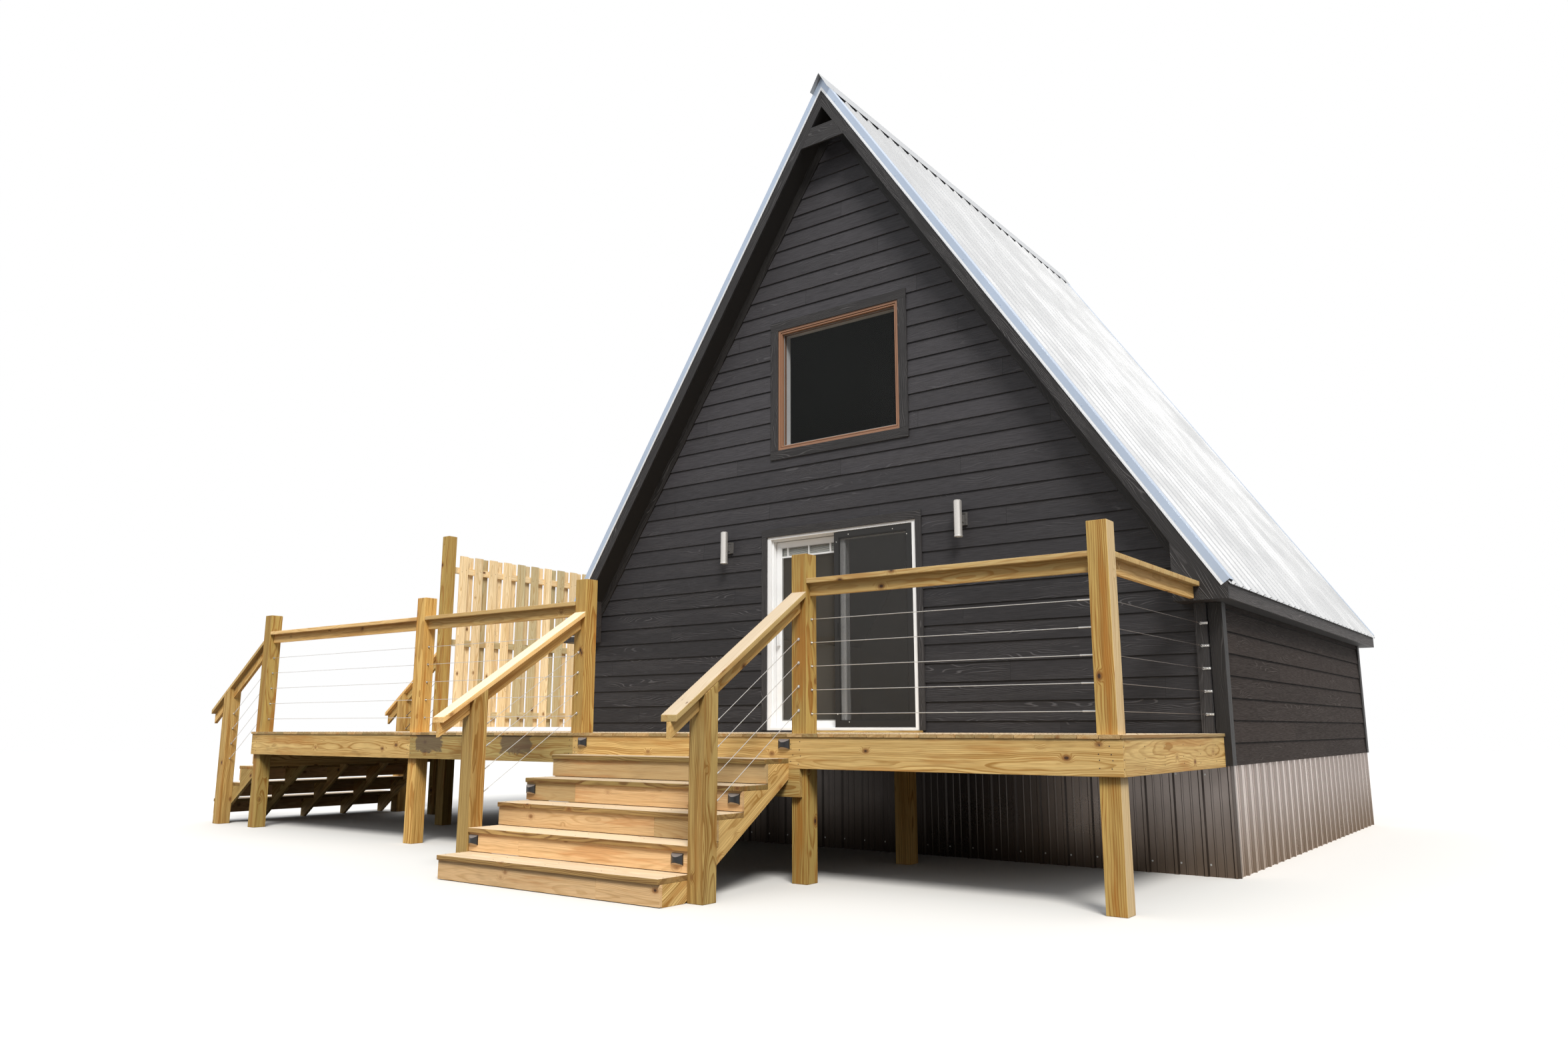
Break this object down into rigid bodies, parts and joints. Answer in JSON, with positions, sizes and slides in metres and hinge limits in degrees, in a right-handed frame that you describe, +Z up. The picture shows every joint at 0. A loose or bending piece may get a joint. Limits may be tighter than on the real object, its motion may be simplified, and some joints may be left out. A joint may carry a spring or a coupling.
{
  "type": "a-frame cabin with timber deck",
  "caption": "Steep-roofed A-frame cabin in dark lap siding with a sliding patio door, raised timber deck, stairs, cable railings and a slatted privacy fence.",
  "frame": {"origin": "on the ground, under the middle of the front wall's siding", "axes": "+X to the right of someone who faces the door, +Y into the cabin, +Z up"},
  "size_m": [11.8725, 10.125, 8.1205],
  "materials": {
    "floor_framing": "sawn, under cover",
    "floor_planks": "sealed planks",
    "piers": "weathered treated timber",
    "wall_lining": "framed wall, plain matt lining inside",
    "siding": "charcoal paint on embossed wood grain",
    "skirt_metal": "zinc-aluminium coat, ribbed, satin",
    "roof_deck": "dark paint on the soffits",
    "roof_metal": "zinc-aluminium coat, ribbed, satin",
    "edge_metal": "blue-grey satin",
    "dark_trim": "charcoal paint on embossed wood grain",
    "white_vinyl": "satin white vinyl with clear glass",
    "black_frame": "matt black with a fine mesh",
    "window_frame": "tan vinyl with clear glass",
    "steel_light": "brushed along its length",
    "deck_boards": "amber treated pine with knots",
    "posts": "amber treated pine with knots",
    "rail_wood": "pale amber treated pine",
    "stair_wood": "amber treated pine with knots",
    "cable_steel": "stranded, with swaged ends",
    "black_light": "black with a dark curved lens",
    "fence_wood": "new pale pine"
  },
  "bodies": {
    "cabin": {"cabin_floor": "floor_framing", "floor_boards": "floor_planks", "floor_piers": "piers", "front_wall_left": "wall_lining", "front_wall_right": "wall_lining", "front_gable": "wall_lining", "back_gable": "wall_lining", "knee_walls": "wall_lining", "front_siding": "siding", "back_siding": "siding", "side_siding": "siding", "skirts": "skirt_metal", "roof_left": "roof_deck", "roof_right": "roof_deck", "roof_sheets": "roof_metal", "ridge_cap": "roof_metal", "rake_trims": "edge_metal", "rake_boards": "dark_trim", "collar_boards": "dark_trim", "eave_boards": "dark_trim", "corner_boards": "dark_trim", "casings": "dark_trim", "cable_boards": "dark_trim", "door_jambs": "white_vinyl", "door_sill_and_head": "white_vinyl", "fixed_door_panel": "white_vinyl", "front_window": "window_frame", "back_window": "window_frame", "wall_lights": "steel_light", "decking": "deck_boards", "deck_frame": "deck_boards", "stair_headers": "deck_boards", "deck_posts": "posts", "stair_posts": "posts", "rail_caps": "rail_wood", "sub_rails": "rail_wood", "stair_stringers": "stair_wood", "stair_treads": "stair_wood", "stair_risers": "stair_wood", "rail_cables": "cable_steel", "stair_cables": "cable_steel", "step_lights": "black_light", "fence_rails": "fence_wood", "fence_pickets": "fence_wood"},
    "sliding_door": {"sliding_door_panel": "white_vinyl"},
    "screen_door": {"screen_door": "black_frame"}
  },
  "joints": [
    {"name": "door_slide", "type": "slide", "parent": "cabin", "child": "sliding_door", "axis": [1, 0, 0], "range_m": [0, 0.74]},
    {"name": "screen_slide", "type": "slide", "parent": "cabin", "child": "screen_door", "axis": [-1, 0, 0], "range_m": [0, 0.78]}
  ]
}
